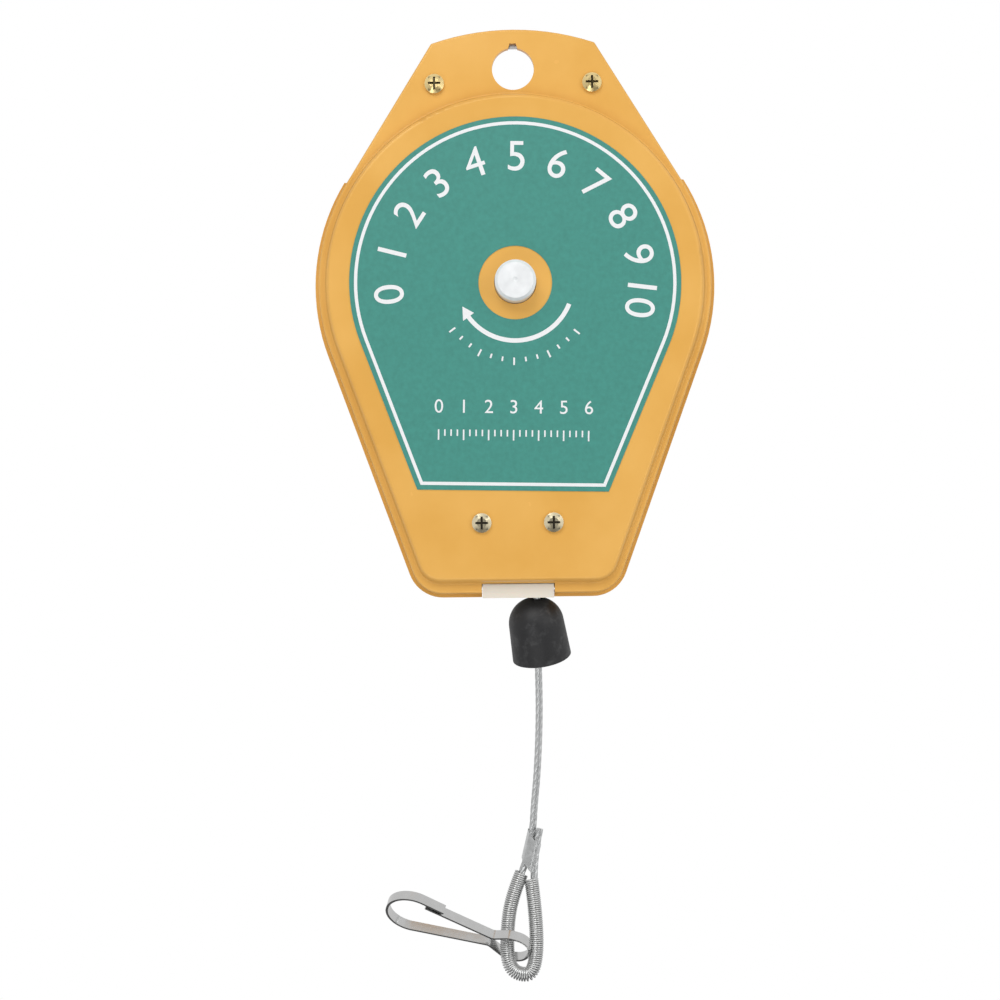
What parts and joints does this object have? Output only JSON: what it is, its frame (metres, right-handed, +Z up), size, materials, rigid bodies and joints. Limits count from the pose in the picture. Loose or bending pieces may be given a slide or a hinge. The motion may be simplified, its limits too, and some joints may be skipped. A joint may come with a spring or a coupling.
{
  "type": "spring tool balancer",
  "caption": "Spring tool balancer: painted sheet-metal housing with a hanging ear, a spring drum that winds a wire rope, a rubber bumper and a snap hook on a sleeved rope loop.",
  "frame": {"origin": "centre of the hanging hole, in the plane where the two ear sheets meet", "axes": "+Z up, +X to the right seen from the front, the front cover faces -Y"},
  "size_m": [0.1622, 0.063, 0.3874],
  "materials": {
    "yellow_paint": "smooth glossy paint on pressed sheet",
    "label_print": "satin printed foil",
    "bearing_bronze": "turned",
    "steel": "turned or stamped, lightly oiled",
    "nylon": "cream moulded nylon",
    "yellow_zinc": "yellow passivated zinc plate",
    "bright_zinc": "bright zinc plate",
    "spring_steel": "blued spring steel",
    "wire_rope_steel": "stranded galvanised rope",
    "cast_aluminium": "cast and turned",
    "black_rubber": "moulded rubber, slightly dusty",
    "coil_steel": "close-wound galvanised wire",
    "hook_strip": "bright zinc plated spring strip"
  },
  "bodies": {
    "housing": {"front_cover": "yellow_paint", "rear_tub": "yellow_paint", "label_plate": "label_print", "front_bush": "bearing_bronze", "rear_bush": "bearing_bronze", "thrust_washer_front": "steel", "thrust_washer_rear": "steel", "rope_guide": "nylon", "top_screws": "yellow_zinc", "top_nuts": "yellow_zinc", "bottom_screws": "bright_zinc", "bottom_nuts": "bright_zinc", "nut_washers": "bright_zinc", "pawl_pin": "bright_zinc", "pawl_spring": "spring_steel", "rope_inner_run": "wire_rope_steel"},
    "drum": {"rope_drum": "cast_aluminium", "spring_cover": "steel", "spring_cover_screws": "bright_zinc", "mainspring": "spring_steel", "drum_bush_front": "bearing_bronze", "drum_bush_rear": "bearing_bronze", "rope_on_drum": "wire_rope_steel", "rope_anchor": "steel"},
    "tension_shaft": {"shaft": "bright_zinc", "ratchet_wheel": "steel", "shaft_circlip": "spring_steel"},
    "pawl": {"pawl": "steel"},
    "rope_end": {"wire_rope": "wire_rope_steel", "rubber_bumper": "black_rubber", "rope_stop": "bright_zinc", "ferrule": "bright_zinc", "loop_rope": "wire_rope_steel", "loop_sleeve": "coil_steel"},
    "hook": {"snap_hook": "hook_strip"},
    "hook_tongue": {"snap_hook_tongue": "hook_strip"}
  },
  "joints": [
    {"name": "drum_spin", "type": "hinge", "parent": "housing", "child": "drum", "pos_m": [0, 0, -0.0866], "axis": [0, -1, 0], "range_deg": [0, 1489.69], "stiffness_Nm_per_rad": 0.0385, "springref_deg": -2188.7, "deforming": ["mainspring", "rope_inner_run"]},
    {"name": "rope_pull", "type": "slide", "parent": "housing", "child": "rope_end", "axis": [0, 0, -1], "range_m": [0, 1.3], "deforming": ["wire_rope"]},
    {"name": "tension_turn", "type": "hinge", "parent": "housing", "child": "tension_shaft", "pos_m": [0, 0, -0.0866], "axis": [0, 1, 0], "range_deg": [0, 360], "deforming": ["mainspring"]},
    {"name": "pawl_lift", "type": "hinge", "parent": "housing", "child": "pawl", "pos_m": [0.027, 0, -0.1081], "axis": [0, -1, 0], "range_deg": [0, 20], "stiffness_Nm_per_rad": 0.01, "springref_deg": -28.65, "deforming": ["pawl_spring"]},
    {"name": "hook_swing", "type": "hinge", "parent": "rope_end", "child": "hook", "pos_m": [0.00145, 0.0145, -0.3613], "axis": [0, -0.9781, 0.2079], "range_deg": [0, 70]},
    {"name": "tongue_flex", "type": "hinge", "parent": "hook", "child": "hook_tongue", "pos_m": [-0.00843, 0.01137, -0.35208], "axis": [-0.2089, -0.7193, -0.6625], "range_deg": [0, 12], "stiffness_Nm_per_rad": 0.02, "springref_deg": -5.73}
  ],
  "couplings": [
    {"joint": "rope_pull", "follows": "drum_spin", "m_per_rad": 0.05}
  ]
}
